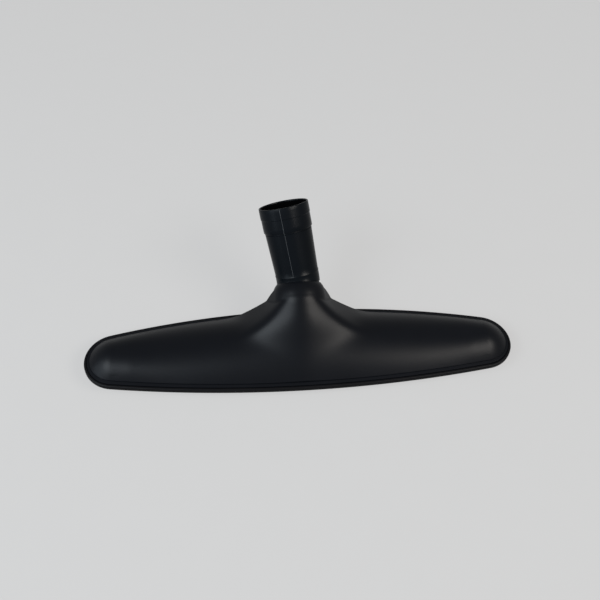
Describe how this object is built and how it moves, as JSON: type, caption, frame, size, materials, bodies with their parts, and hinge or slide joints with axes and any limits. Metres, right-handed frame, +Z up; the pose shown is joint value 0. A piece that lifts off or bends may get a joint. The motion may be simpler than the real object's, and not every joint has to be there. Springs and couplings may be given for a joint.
{
  "type": "vacuum floor brush",
  "caption": "Wide lens-shaped vacuum floor brush with bristle rows, a soft bumper strip and a swivel elbow for a tapered wand.",
  "frame": {"origin": "on the floor under the middle of the whole object's bounding box, bristle tips at z = 0", "axes": "+X along the head, +Y to the rear where the neck leans, +Z up from the floor"},
  "size_m": [0.356, 0.137, 0.1139],
  "materials": {
    "shell": "satin",
    "elbow": "satin",
    "plate": "matte",
    "bumper": "satin",
    "bristles": "matte",
    "acetal": "satin",
    "steel": "brushed"
  },
  "bodies": {
    "head": {"housing": "shell", "bumper_strip": "bumper", "brush_plate": "plate", "front_tufts": "bristles", "rear_tufts": "bristles", "left_end_tufts": "bristles", "right_end_tufts": "bristles", "plate_screws": "steel"},
    "neck": {"swivel_elbow": "elbow", "thrust_washer": "acetal", "snap_ring": "steel"}
  },
  "joints": [
    {"name": "neck_swivel", "type": "hinge", "parent": "head", "child": "neck", "pos_m": [0, 0.01332, 0.05119], "axis": [0, 0.848, 0.5299], "continuous": true}
  ]
}
